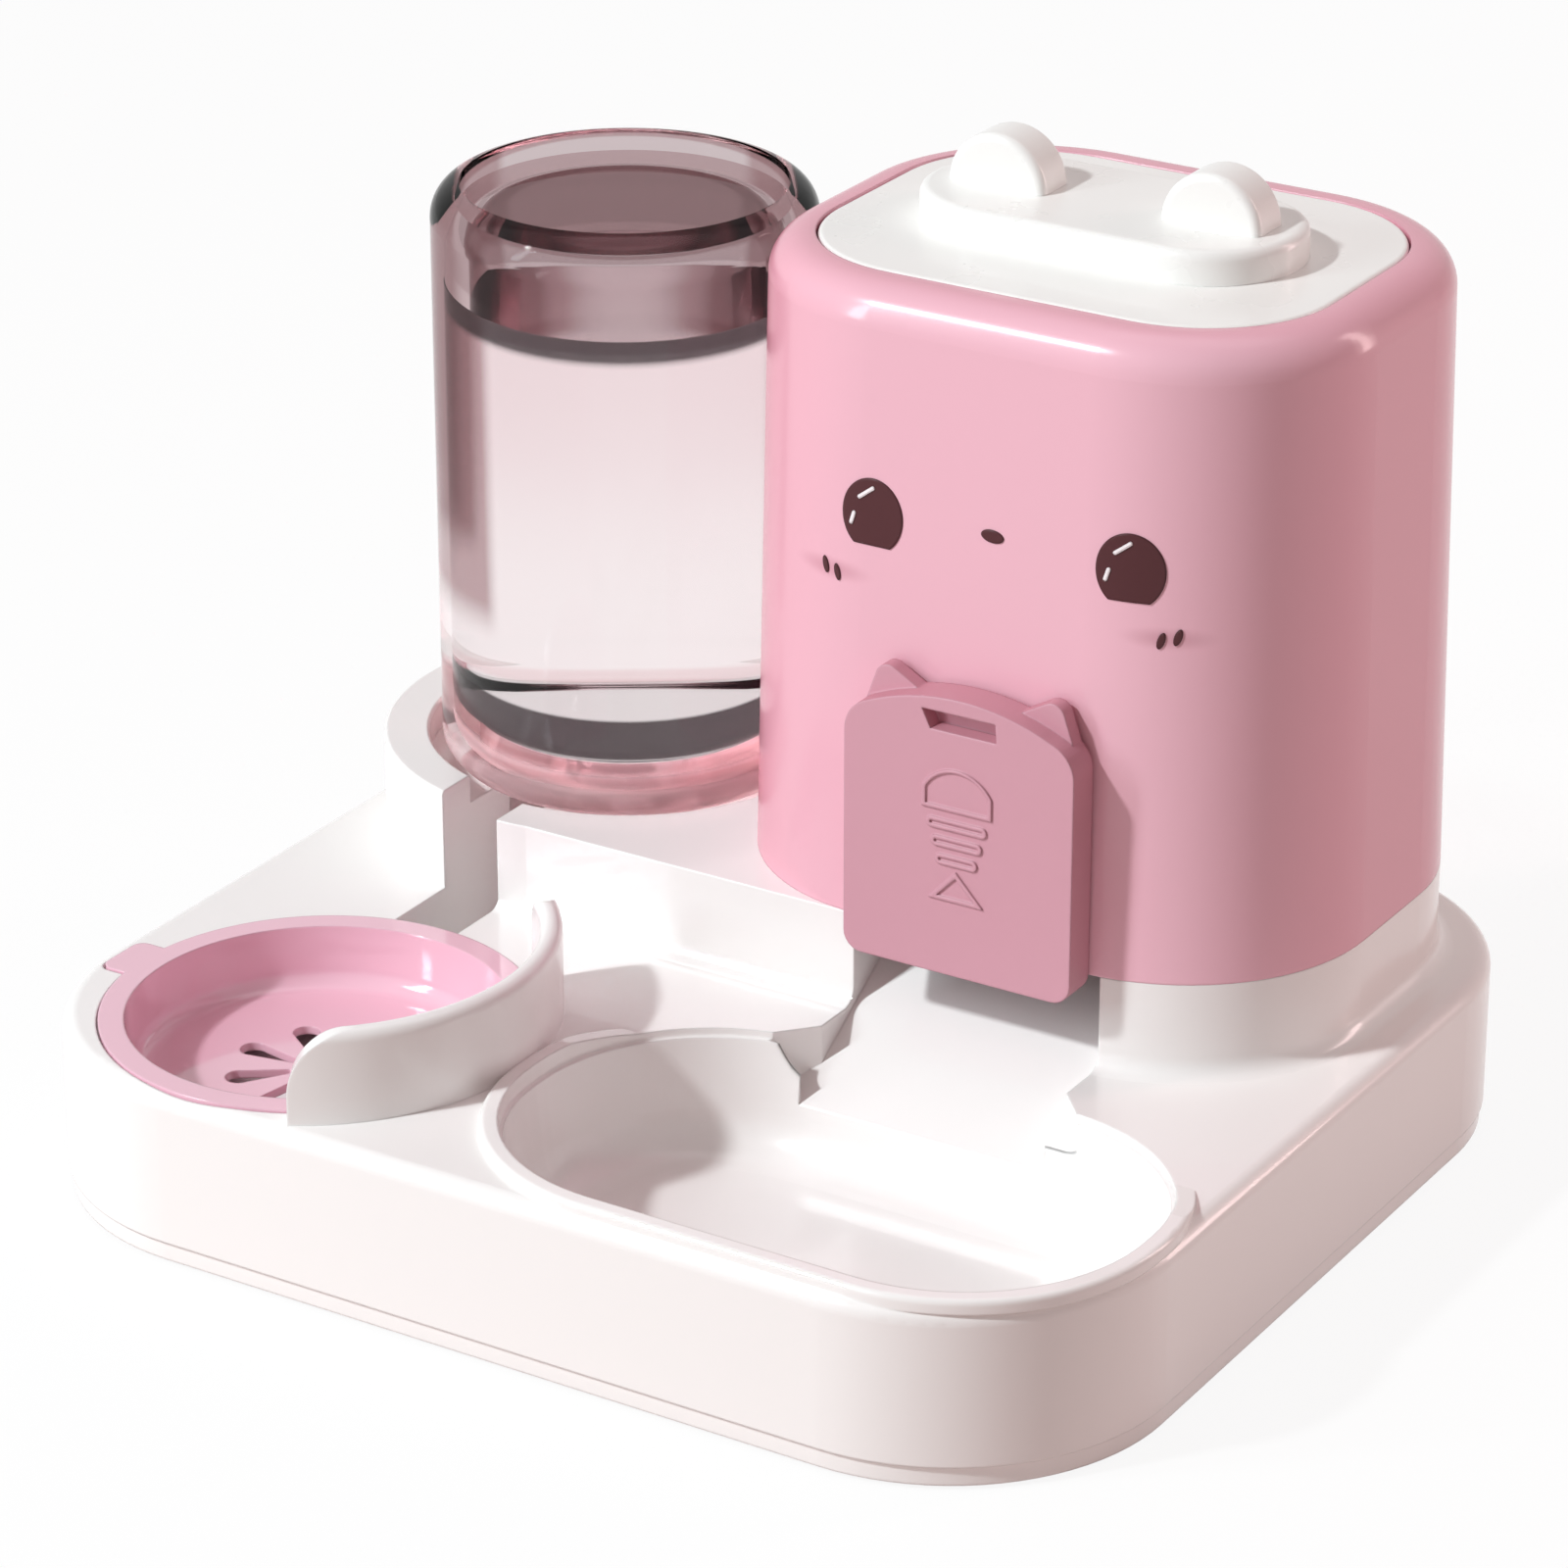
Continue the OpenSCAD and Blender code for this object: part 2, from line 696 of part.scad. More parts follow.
// Where a line from p touches a circle of radius r round c
function touch(p, c, r, side) =
    let (d = c - p, l = norm(d), a = atan2(d[1], d[0]), b = asin(r/l))
    p + sqrt(l^2 - r^2)*[cos(a + side*b), sin(a + side*b)];

gate_round = 9;
gate_foot = 5;
gate_side = gate_w/2 - gate_round;
gate_low_c = gate_h - gate_arc;
gate_round_c = gate_low_c + sqrt((gate_arc - gate_round)^2 - gate_side^2);
function on_arc(x) = [x, gate_low_c + sqrt((gate_arc - gate_wall/2)^2 - x^2)];
module gate_ear_shape() {
    r = 3.5;
    tip = [gate_side, gate_round_c + gate_round - 2.6 + gate_ear - r];
    inner = on_arc(gate_side*0.56);
    outer = [gate_side, gate_round_c] + (gate_round - gate_wall/2)*[cos(20), sin(20)];
    translate(tip) circle(r);
    polygon([inner, touch(inner, tip, r, 1), tip, touch(outer, tip, r, -1), outer, on_arc(gate_side*1.08)]);
}

module gate_place()
    translate([gate_x, gate_back, gate_z]) rotate([90, 0, 0]) children();

module gate() {
    wall = gate_wall;
    pull_w = 20;
    pull_z = gate_h - 6.2;
    color(dusky_pink) difference() {
        gate_place() {
            difference() {
                linear_extrude(gate_t) gate_outline(gate_w, gate_h, gate_arc, gate_round, gate_foot);
                difference() {
                    translate([0, wall, -1]) linear_extrude(gate_t - wall + 1)
                        gate_outline(gate_w - 2*wall, gate_h - 2*wall, gate_arc - wall,
                            gate_round - wall, gate_foot - wall);
                    translate([-pull_w/2 - 2, gate_h - 13, -2]) cube([pull_w + 4, 20, gate_t]);
                    for (s = [-1, 1]) translate([s*(gate_in - lip_in/2 + 1), gate_h/2, lip_t/2])
                        cube([lip_in + 2, gate_h, lip_t], center = true);
                }
            }
            for (m = [0, 1]) mirror([m, 0, 0]) linear_extrude(gate_t*0.45) gate_ear_shape();
            fish_mark();
        }
        gate_place() translate([0, pull_z, gate_t - 4.5]) linear_extrude(6)
            polygon([[-pull_w/2, 2.4], [pull_w/2, 2.4], [pull_w/2 + 0.4, -2.4], [-pull_w/2 + 2.4, -2.4]]);
    }
}

// A raised fish bone, drawn in thin lines on the gate's face
module fish_mark() {
    line = 1;
    translate([0, 0, gate_t - e]) linear_extrude(0.5) {
        translate([0, gate_h*0.6]) {
            difference() {
                head(9.5, 11);
                translate([0, line]) head(9.5 - line, 11 - 1.8*line);
            }
            for (i = [1, 2, 3]) translate([0, -4.6*i + 1]) difference() {
                rounded(19 - 2.5*i, 2.8, 1.39);
                rounded(19 - 2.5*i - 2*line, 0.9, 0.44);
            }
        }
        translate([0, gate_h*0.6 - 17.5]) difference() {
            polygon([[0, 2], [7.5, -6], [-7.5, -6]]);
            polygon([[0, 0.4], [5.2, -5], [-5.2, -5]]);
        }
    }
}
module head(r, h)
    intersection() {
        translate([0, h - r*1.15]) circle(r*1.15);
        translate([-r, 0]) square([2*r, h]);
    }

lid_edge = 1.2;
plug_wall = 2;
grip_edge = 2.5;
module tank_lid() {
    color(white) union() {
        translate([tank_x, tank_y, lid_z]) round_block(lid_w, lid_d, lid_r, lid_t, lid_edge);
        difference() {
            lid_prism(-plug_in, lid_z - plug_h, plug_h + e);
            lid_prism(-plug_in - plug_wall, lid_z - plug_h - 1, plug_h + 1);
        }
        translate([tank_x, tank_y, lid_z + lid_t - 1])
            round_block(grip_w, grip_d, grip_d/2 - 0.5, grip_h + 1, grip_edge);
        for (s = [-1, 1]) translate([tank_x + s*ear_gap/2, tank_y, lid_z + lid_t + grip_h + ear_rise])
            rotate([90, 0, 0]) rotate_extrude() ear_profile();
    }
}
ear_round = 2;
module ear_profile()
    for (m = [0, 1]) mirror([0, m]) {
        square([ear_r - ear_round, ear_t/2]);
        square([ear_r, ear_t/2 - ear_round]);
        translate([ear_r - ear_round, ear_t/2 - ear_round]) circle(ear_round);
    }

seal_in = 0.8;
module lid_seal()
    color(clear_white) difference() {
        lid_prism(-seal_in, lid_z - seal_t, seal_t);
        lid_prism(-plug_in, lid_z - seal_t - 1, seal_t + 2);
    }

// The lift-out water bowl
tab_root = 6;
tab_r = 3;
module tab_shape(grow)
    translate([-bowl_r - tab_len - grow, -tab_w/2 - grow, 0]) linear_extrude(bowl_wall)
        translate([(tab_len + tab_root)/2, tab_w/2 + grow])
            rounded(tab_len + tab_root, tab_w + 2*grow, tab_r);

bowl_foot_r = 5;
bowl_lean = 4;
module water_bowl() {
    outer = well_r - loose;
    color(pink) translate([bowl_x, bowl_y, 0]) difference() {
        union() {
            translate([0, 0, rim_z]) rotate_extrude() mirror([0, 1]) {
                soft_profile(outer, bowl_depth + bowl_wall, bowl_foot_r + bowl_wall, bowl_lean);
                square([bowl_r, bowl_wall]);
            }
            translate([0, 0, rim_z - bowl_wall]) tab_shape(0);
        }
        translate([0, 0, rim_z + e]) rotate_extrude() mirror([0, 1])
            soft_profile(outer - bowl_wall, bowl_depth, bowl_foot_r, bowl_lean);
        for (i = [0:petals - 1]) rotate([0, 0, i*360/petals])
            translate([petal_in, 0, well_floor]) petal_slot();
    }
}
petal_in = 8;
petal_len = 12;
petal_r1 = 1.2;
petal_r2 = 3.4;
module petal_slot() {
    cylinder(r = petal_r1, h = channel_depth);
    translate([petal_len, 0, 0]) cylinder(r = petal_r2, h = channel_depth);
    linear_extrude(channel_depth)
        polygon([[0, -petal_r1], [petal_len, -petal_r2], [petal_len, petal_r2], [0, petal_r1]]);
}

// Half profile of the bottle's body
module body_half(r, h, low, top) {
    translate([0, low]) square([r, h - low - top]);
    square([r - top, h]);
    square([r - low, h - top]);
    translate([r - low, low]) circle(low);
    translate([r - top, h - top]) circle(top);
}

punt_lip = 1.6;
bottle_floor = 3;
bottle_inner_r = 6;
ring_low = 4;
ring_step = 5;
ring_r = 0.9;
ring_gap = 0.25;
module bottle() {
    inner = bottle_r - bottle_wall;
    color(smoky) translate([socket_x, socket_y, seat_z]) rotate_extrude() difference() {
        union() {
            body_half(bottle_r, bottle_h, bottle_shoulder, bottle_edge);
            translate([0, -neck_len]) square([neck_r, neck_len + 1]);
            for (i = [0, 1]) translate([neck_r, -neck_len + ring_low + ring_step*i]) circle(ring_r, $fn = 32);
        }
        translate([0, bottle_floor])
            body_half(inner, bottle_h - 2*bottle_floor - punt_depth, bottle_inner_r, bottle_inner_r);
        translate([0, -neck_len - 1]) square([neck_r - neck_wall, neck_len + bottle_floor + 2]);
        translate([0, bottle_h - punt_depth]) square([bottle_r - bottle_edge + punt_lip, punt_depth + 1]);
        translate([-bottle_r, -neck_len - 2]) square([bottle_r, bottle_h + neck_len + 4]);
    }
}

cap_edge = 1.2;
knurls = 24;
knurl_r = 0.6;
module bottle_cap()
    color(white) translate([socket_x, socket_y, 0]) difference() {
        union() {
            translate([0, 0, cap_out]) rotate([180, 0, 0]) translate([0, 0, -cap_h - cap_end])
                rotate_extrude() soft_profile(cap_r, cap_h + cap_end, cap_edge);
            for (i = [0:knurls - 1]) rotate([0, 0, i*360/knurls]) translate([cap_r, 0, cap_in + ring_r])
                cylinder(r = knurl_r, h = cap_h - 2*ring_r, $fn = 16);
        }
        translate([0, 0, cap_in]) cylinder(r = neck_r + ring_gap, h = cap_h + 1);
        for (i = [0, 1]) translate([0, 0, neck_z + ring_low + ring_step*i]) rotate_extrude()
            translate([neck_r, 0]) circle(ring_r + ring_gap, $fn = 32);
        translate([0, 0, cap_out - 1]) cylinder(r = valve_hole, h = cap_end + 2);
    }

module cap_gasket()
    color(clear_white) translate([socket_x, socket_y, neck_z - gasket_t])
        ring(neck_r - gasket_in, neck_r - neck_wall, gasket_t);

// Valve: a cage clamped in the cap guides a sprung stem with a seal above the hole
cage_drop = 4;
cage_gap = 0.6;
cage_top = seat_z - cage_drop;
cage_r = neck_r - neck_wall - cage_gap;
cage_bar = 3;
cage_hub = 5.5;
cage_step = 1.2;
seal_r = valve_hole + 2;
seal_z = cap_in + valve_lift;
valve_pad = 2;
stem_flange = 1.2;
stem_collar = 1.2;
flange_r = 5.4;
spring_gap = 0.05;
spring_in = 2.2;
spring_turns = 4;
module valve_cage()
    color(clear_white) translate([socket_x, socket_y, 0]) {
        translate([0, 0, cap_in]) ring(neck_r - gasket_in, seal_r + cage_step, cage_flange);
        difference() {
            union() {
                for (i = [0, 1, 2]) rotate([0, 0, i*120]) {
                    translate([seal_r + cage_step, -cage_bar/2, cap_in])
                        cube([cage_r - seal_r - cage_step, cage_bar, cage_top - cap_in]);
                    translate([stem_r, -cage_step, cage_top - cage_bar])
                        cube([cage_r - stem_r, 2*cage_step, cage_bar]);
                }
                translate([0, 0, cage_top - cage_bar]) cylinder(r = cage_hub, h = cage_bar);
            }
            translate([0, 0, cap_in]) cylinder(r = stem_r + guide_gap, h = cage_top);
        }
    }

module valve_stem()
    color(white) translate([socket_x, socket_y, 0]) {
        translate([0, 0, stem_low]) cylinder(r = stem_r, h = cage_top + valve_lift - stem_low);
        translate([0, 0, seal_z + valve_pad]) cylinder(r = flange_r, h = stem_flange);
        translate([0, 0, seal_z - stem_collar]) cylinder(r = stem_r + stem_collar, h = stem_collar);
    }

module valve_seal()
    color(rubber_grey) translate([socket_x, socket_y, seal_z]) ring(seal_r, stem_r, valve_pad);

// A coil of round wire round the Z axis, faceted
module coil(r, wire, turns, h) {
    steps = 20*turns;
    sides = 8;
    points = [for (i = [0:steps], k = [0:sides - 1]) let (a = 360*i/20, b = 360*k/sides)
        [(r + wire*cos(b))*cos(a), (r + wire*cos(b))*sin(a), h*i/steps + wire*sin(b)]];
    skin = [for (i = [0:steps - 1], k = [0:sides - 1]) let (m = (k + 1)%sides)
        [i*sides + k, i*sides + m, (i + 1)*sides + m, (i + 1)*sides + k]];
    polyhedron(points, concat(skin, [
        [for (k = [0:sides - 1]) sides - 1 - k],
        [for (k = [0:sides - 1]) steps*sides + k]
    ]), convexity = 10);
}

module valve_spring() {
    low = seal_z + valve_pad + stem_flange + spring_wire/2 + spring_gap;
    high = cage_top - cage_bar - spring_wire/2;
    color(steel) translate([socket_x, socket_y, low])
        coil(stem_r + spring_in, spring_wire/2, spring_turns, high - low);
}

// Printed face: thin films on the tank's front
module film(layer)
    intersection() {
        difference() {
            tank_form((layer + 1)*print_t);
            tank_form(layer*print_t);
        }
        translate([tank_x, tank_y, deck_z]) rotate([90, 0, 0]) linear_extrude(tank_d) children();
    }
eye_cut = 1.9;
module eye_place(side) translate([face_shift + side*eye_gap/2, eye_z]) children();
module eye_shape(side)
    eye_place(side) intersection() {
        scale([eye_w/eye_h, 1]) circle(eye_h/2);
        translate([0, eye_cut]) square([eye_w + 2, eye_h + e], center = true);
    }
module left_eye() color(eye_brown) film(0) eye_shape(-1);
module right_eye() color(eye_brown) film(0) eye_shape(1);
glint_w = 1;
module glint(side)
    eye_place(side) {
        translate([-eye_w*0.1, eye_h*0.3]) rotate(-53) rounded(glint_w, eye_h*0.29, glint_w/2 - e);
        translate([-eye_w*0.32, -eye_h*0.07]) rotate(-17) rounded(glint_w, eye_h*0.19, glint_w/2 - e);
    }
module eye_highlights()
    color(white) film(1) for (s = [-1, 1]) glint(s);
mouth_r = 1.6;
module mouth()
    color(eye_brown) film(0) translate([face_shift - mouth_r, eye_z + mouth_r]) rotate(-4)
        scale([1.9, 1]) circle(mouth_r);
cheek_r = 2.1;
cheek_out = 8.7;
cheek_step = 3.6;
module cheek_marks()
    color(eye_brown) film(0) for (s = [-1, 1], i = [0, 1])
        eye_place(s) translate([s*(cheek_out + cheek_step*i) - 1, -eye_h*0.87 + i*cheek_r/2]) rotate(-s*14)
            scale([0.4, 1]) circle(cheek_r);

base_tray();
bottom_plate();
plate_screws();
rubber_feet();
food_tank();
tank_screws();
feed_ramp();
gate();
tank_lid();
lid_seal();
water_bowl();
bottle();
bottle_cap();
cap_gasket();
valve_cage();
valve_stem();
valve_seal();
valve_spring();
left_eye();
right_eye();
eye_highlights();
mouth();
cheek_marks();
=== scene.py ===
import math

import bmesh
import bpy
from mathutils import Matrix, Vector


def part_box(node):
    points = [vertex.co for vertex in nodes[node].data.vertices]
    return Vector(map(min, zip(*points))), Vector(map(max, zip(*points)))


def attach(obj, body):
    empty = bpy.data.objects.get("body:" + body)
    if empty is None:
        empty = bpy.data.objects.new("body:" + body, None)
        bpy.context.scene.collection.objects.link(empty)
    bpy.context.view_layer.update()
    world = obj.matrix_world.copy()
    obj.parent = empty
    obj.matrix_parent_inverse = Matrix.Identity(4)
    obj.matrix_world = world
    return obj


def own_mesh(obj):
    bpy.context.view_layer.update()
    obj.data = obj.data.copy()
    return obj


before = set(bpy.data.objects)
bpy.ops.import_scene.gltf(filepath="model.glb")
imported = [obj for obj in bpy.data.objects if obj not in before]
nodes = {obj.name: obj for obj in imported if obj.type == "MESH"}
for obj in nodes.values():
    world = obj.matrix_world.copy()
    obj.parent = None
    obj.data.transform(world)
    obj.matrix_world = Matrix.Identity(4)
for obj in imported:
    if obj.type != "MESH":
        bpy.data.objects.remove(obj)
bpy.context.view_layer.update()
print("frame loaded:", len(nodes), "nodes")


# the camera stands at the place fitted to the photograph
camera = {
    "place": (0.6853, -1.1115, 0.6853),
    "turn": (65.74, 0.0, 31.66),
    "lens": 134.5,
    "sensor": 36,
    "reach": 20,
}
cameraData = bpy.data.cameras.new("camera")
cameraData.lens = camera["lens"]
cameraData.sensor_width = camera["sensor"]
cameraData.clip_end = camera["reach"]
cameraObject = bpy.data.objects.new("camera", cameraData)
cameraObject.location = camera["place"]
cameraObject.rotation_euler = [math.radians(a) for a in camera["turn"]]
bpy.context.scene.collection.objects.link(cameraObject)
bpy.context.scene.camera = cameraObject
bpy.context.scene.view_settings.view_transform = "Standard"
print("camera placed")


def shade(red, green, blue):
    # a colour read as screen values, made linear
    def one(v):
        v /= 255
        return v / 12.92 if v <= 0.04045 else ((v + 0.055) / 1.055) ** 2.4
    return (one(red), one(green), one(blue), 1)


def newMaterial(name):
    material = bpy.data.materials.new(name)
    material.use_nodes = True
    tree = material.node_tree
    tree.nodes.clear()
    out = tree.nodes.new("ShaderNodeOutputMaterial")
    shader = tree.nodes.new("ShaderNodeBsdfPrincipled")
    tree.links.new(shader.outputs[0], out.inputs["Surface"])
    return material, tree, shader, out


def plug(tree, value, socket):
    # value is a plain value or another node's socket
    if isinstance(value, bpy.types.NodeSocket):
        tree.links.new(value, socket)
    else:
        socket.default_value = value


def mathNode(tree, operation, *values):
    node = tree.nodes.new("ShaderNodeMath")
    node.operation = operation
    for index, value in enumerate(values):
        plug(tree, value, node.inputs[index])
    return node.outputs[0]


def vectorNode(tree, operation, *values):
    node = tree.nodes.new("ShaderNodeVectorMath")
    node.operation = operation
    for index, value in enumerate(values):
        plug(tree, value, node.inputs[index])
    return node


def rampNode(tree, value, low, high, start=0.0, end=1.0, smooth=True):
    # start at low and below, end at high and above
    node = tree.nodes.new("ShaderNodeMapRange")
    if smooth:
        node.interpolation_type = "SMOOTHSTEP"
    tree.links.new(value, node.inputs["Value"])
    for socket, number in (("From Min", low), ("From Max", high), ("To Min", start), ("To Max", end)):
        node.inputs[socket].default_value = number
    return node.outputs[0]


def noiseNode(tree, scale, detail):
    # noise on the piece's own coordinates
    place = tree.nodes.new("ShaderNodeTexCoord")
    noise = tree.nodes.new("ShaderNodeTexNoise")
    tree.links.new(place.outputs["Object"], noise.inputs["Vector"])
    plug(tree, scale, noise.inputs["Scale"])
    noise.inputs["Detail"].default_value = detail
    return noise.outputs["Fac"]


def mixColour(tree, mask, below, above):
    # below where the mask is 0, above where it is 1
    node = tree.nodes.new("ShaderNodeMix")
    node.data_type = "RGBA"
    for index, value in ((0, mask), (6, below), (7, above)):
        plug(tree, value, node.inputs[index])
    return node.outputs[2]


def mixShader(tree, share, first, second):
    node = tree.nodes.new("ShaderNodeMixShader")
    for index, value in enumerate((share, first, second)):
        plug(tree, value, node.inputs[index])
    return node.outputs[0]


# moulded plastic: slow colour drift, faint flow haze, a very fine ripple, softened edges and the blend of the
# painted shade seen edge on
mould = {
    "driftScale": 9,
    "driftDetail": 2,
    "hazeScale": 38,
    "hazeDetail": 4,
    "grainDetail": 3,
    "grainDepth": 0.0002,
    "softEdge": 0.0008,
    "edgeSamples": 6,
    "edgeShadeBlend": 0.22,
    "coatRoughness": 0.04,
}


def makeMouldGroup():
    group = bpy.data.node_groups.new("mouldedPlastic", "ShaderNodeTree")
    group.interface.new_socket(name="Colour", in_out="INPUT", socket_type="NodeSocketColor")
    for name, value in (("Drift", 0.02), ("Roughness", 0.2), ("Haze", 0.06), ("Grain Scale", 900.0)):
        socket = group.interface.new_socket(name=name, in_out="INPUT", socket_type="NodeSocketFloat")
        socket.default_value = value
    group.interface.new_socket(name="Colour", in_out="OUTPUT", socket_type="NodeSocketColor")
    for name in ("Roughness", "Height"):
        group.interface.new_socket(name=name, in_out="OUTPUT", socket_type="NodeSocketFloat")
    inside = group.nodes.new("NodeGroupInput")
    outside = group.nodes.new("NodeGroupOutput")
    drift = mathNode(group, "SUBTRACT", noiseNode(group, mould["driftScale"], mould["driftDetail"]), 0.5)
    amount = mathNode(group, "MULTIPLY_ADD", drift, inside.outputs["Drift"], 1.0)
    tone = vectorNode(group, "SCALE", inside.outputs["Colour"])
    group.links.new(amount, tone.inputs["Scale"])
    group.links.new(tone.outputs[0], outside.inputs["Colour"])
    haze = mathNode(group, "SUBTRACT", noiseNode(group, mould["hazeScale"], mould["hazeDetail"]), 0.5)
    rough = mathNode(group, "MULTIPLY_ADD", haze, inside.outputs["Haze"], inside.outputs["Roughness"])
    group.links.new(rough, outside.inputs["Roughness"])
    grain = noiseNode(group, inside.outputs["Grain Scale"], mould["grainDetail"])
    group.links.new(grain, outside.inputs["Height"])
    return group


mouldGroup = makeMouldGroup()
cheeks = {"inset": 0.0026, "spread": (0.0135, 0.02, 0.0034), "core": 0.15, "depth": 0.55}


def blushAndShade(tree, colour, blushShade):
    # a soft darker pink smudge behind each pair of cheek marks, on the tank's front only: part printed blush, part
    # painted shade round the marks
    low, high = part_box("cheek_marks")
    place = tree.nodes.new("ShaderNodeTexCoord")
    for x in (low[0] + cheeks["inset"], high[0] - cheeks["inset"]):
        offset = vectorNode(tree, "SUBTRACT", place.outputs["Object"], (x, low[1], (low[2] + high[2]) / 2))
        spread = vectorNode(tree, "DIVIDE", offset.outputs[0], cheeks["spread"])
        reach = vectorNode(tree, "LENGTH", spread.outputs[0])
        fade = rampNode(tree, reach.outputs["Value"], cheeks["core"], 1.0, start=cheeks["depth"], end=0.0)
        colour = mixColour(tree, fade, colour, blushShade)
    return colour


def mouldedPlastic(name, colour, roughness, drift=0.03, haze=0.06, grain=900, bump=0.02, coat=0.0,
                   specular=0.5, edgeShade=None, blushShade=None):
    material, tree, shader, out = newMaterial(name)
    skin = tree.nodes.new("ShaderNodeGroup")
    skin.node_tree = mouldGroup
    settings = {"Colour": colour, "Drift": drift, "Roughness": roughness, "Haze": haze, "Grain Scale": grain}
    for socket, value in settings.items():
        skin.inputs[socket].default_value = value
    edge = tree.nodes.new("ShaderNodeBevel")
    edge.samples = mould["edgeSamples"]
    edge.inputs["Radius"].default_value = mould["softEdge"]
    ripple = tree.nodes.new("ShaderNodeBump")
    ripple.inputs["Strength"].default_value = bump
    ripple.inputs["Distance"].default_value = mould["grainDepth"]
    tree.links.new(edge.outputs[0], ripple.inputs["Normal"])
    tree.links.new(skin.outputs["Height"], ripple.inputs["Height"])
    base = skin.outputs["Colour"]
    if blushShade:
        base = blushAndShade(tree, base, blushShade)
    if edgeShade:
        # painted shade: seen edge on, the colour goes deeper and darker, as on the shaded sides
        turn = tree.nodes.new("ShaderNodeLayerWeight")
        turn.inputs["Blend"].default_value = mould["edgeShadeBlend"]
        base = mixColour(tree, turn.outputs["Facing"], base, edgeShade)
    tree.links.new(base, shader.inputs["Base Color"])
    tree.links.new(skin.outputs["Roughness"], shader.inputs["Roughness"])
    tree.links.new(ripple.outputs[0], shader.inputs["Normal"])
    shader.inputs["Specular IOR Level"].default_value = specular
    shader.inputs["Coat Weight"].default_value = coat
    shader.inputs["Coat Roughness"].default_value = mould["coatRoughness"]
    return material


whitePlastic = mouldedPlastic("whitePlastic", shade(248, 244, 242), 0.24, drift=0.012, coat=0.3)
lidPlastic = mouldedPlastic("lidPlastic", shade(248, 246, 243), 0.28, drift=0.012, coat=0.2)
# painted shade: the tank and the gate go deeper and darker in colour seen edge on
tankPlastic = mouldedPlastic("tankPlastic", shade(243, 191, 205), 0.2, drift=0.02, coat=0.12, specular=0.32,
                             # the tank's cheek smudge is a darker pink, part printed blush and part painted shade
                             # round the cheek marks
                             edgeShade=shade(212, 108, 130), blushShade=shade(200, 140, 154))
gatePlastic = mouldedPlastic("gatePlastic", shade(214, 160, 174), 0.42, drift=0.02, grain=1600, bump=0.12,
                             edgeShade=shade(176, 92, 106))
bowlPlastic = mouldedPlastic("bowlPlastic", shade(240, 190, 206), 0.12, drift=0.02, coat=0.7)
naturalPlastic = mouldedPlastic("naturalPlastic", shade(226, 229, 228), 0.35)
siliconeSkin = mouldedPlastic("siliconeSkin", shade(215, 218, 220), 0.5, grain=1400, bump=0.08)
footRubber = mouldedPlastic("footRubber", shade(86, 86, 88), 0.7, grain=2200, bump=0.3)
printBrown = mouldedPlastic("printBrown", shade(80, 36, 40), 0.35, drift=0.05, specular=0.3)
printWhite = mouldedPlastic("printWhite", shade(252, 244, 246), 0.3)

# plain steel of the screws and the spring
steel = {"colour": shade(190, 192, 196), "streakScale": 700, "streakDetail": 2, "smooth": 0.22, "rough": 0.4}
steelSkin, tree, shader, out = newMaterial("steelSkin")
shader.inputs["Base Color"].default_value = steel["colour"]
shader.inputs["Metallic"].default_value = 1
streaks = noiseNode(tree, steel["streakScale"], steel["streakDetail"])
tree.links.new(rampNode(tree, streaks, 0.0, 1.0, start=steel["smooth"], end=steel["rough"], smooth=False),
               shader.inputs["Roughness"])
print("materials made")


# what each CAD piece is made of
finishes = {
    "base_tray": whitePlastic, "bottom_plate": whitePlastic, "feed_ramp": whitePlastic,
    "tank_lid": lidPlastic, "bottle_cap": whitePlastic, "food_tank": tankPlastic, "gate": gatePlastic,
    "water_bowl": bowlPlastic, "valve_cage": naturalPlastic, "valve_stem": naturalPlastic,
    "lid_seal": siliconeSkin, "cap_gasket": siliconeSkin, "rubber_feet": footRubber,
    "valve_seal": footRubber, "plate_screws": steelSkin, "tank_screws": steelSkin,
    "valve_spring": steelSkin, "left_eye": printBrown, "right_eye": printBrown, "mouth": printBrown,
    "cheek_marks": printBrown, "eye_highlights": printWhite,
}


def dress(item, material):
    item.data.materials.clear()
    item.data.materials.append(material)


for name, material in finishes.items():
    dress(nodes[name], material)
print("nodes dressed")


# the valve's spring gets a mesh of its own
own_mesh(nodes["valve_spring"])


# the bottle: thick clear plastic, upside down, with a hollow base and a faintly milky foot; its edges and the part
# above the water get painted shade
bottleLow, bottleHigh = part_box("bottle")
bottle = {
    "centre": ((bottleLow[0] + bottleHigh[0]) / 2, (bottleLow[1] + bottleHigh[1]) / 2),
    "seat": bottleHigh[2] - 0.156,
    "radius": (bottleHigh[0] - bottleLow[0]) / 2,
    "wall": 0.0095,
    "index": 1.14,
    "clear": shade(253, 250, 250),
    "airShade": shade(206, 192, 194),
    "airShadeFade": 0.001,
    "rimShade": shade(154, 122, 125),
    "rimShadeFrom": 0.110,
    "rimShadeTo": 0.122,
    "rimBlend": 0.5,
    "rimFrom": 0.32,
    "rimTo": 0.40,
    "foot": shade(238, 214, 216),
    "footDrop": 0.001,
    "footHeight": 0.0140,
    "milk": shade(236, 206, 208),
    "milkiness": 0.38,
    "milkHeight": 0.0125,
    "milkFade": 0.003,
    "shadow": shade(236, 222, 224),
}

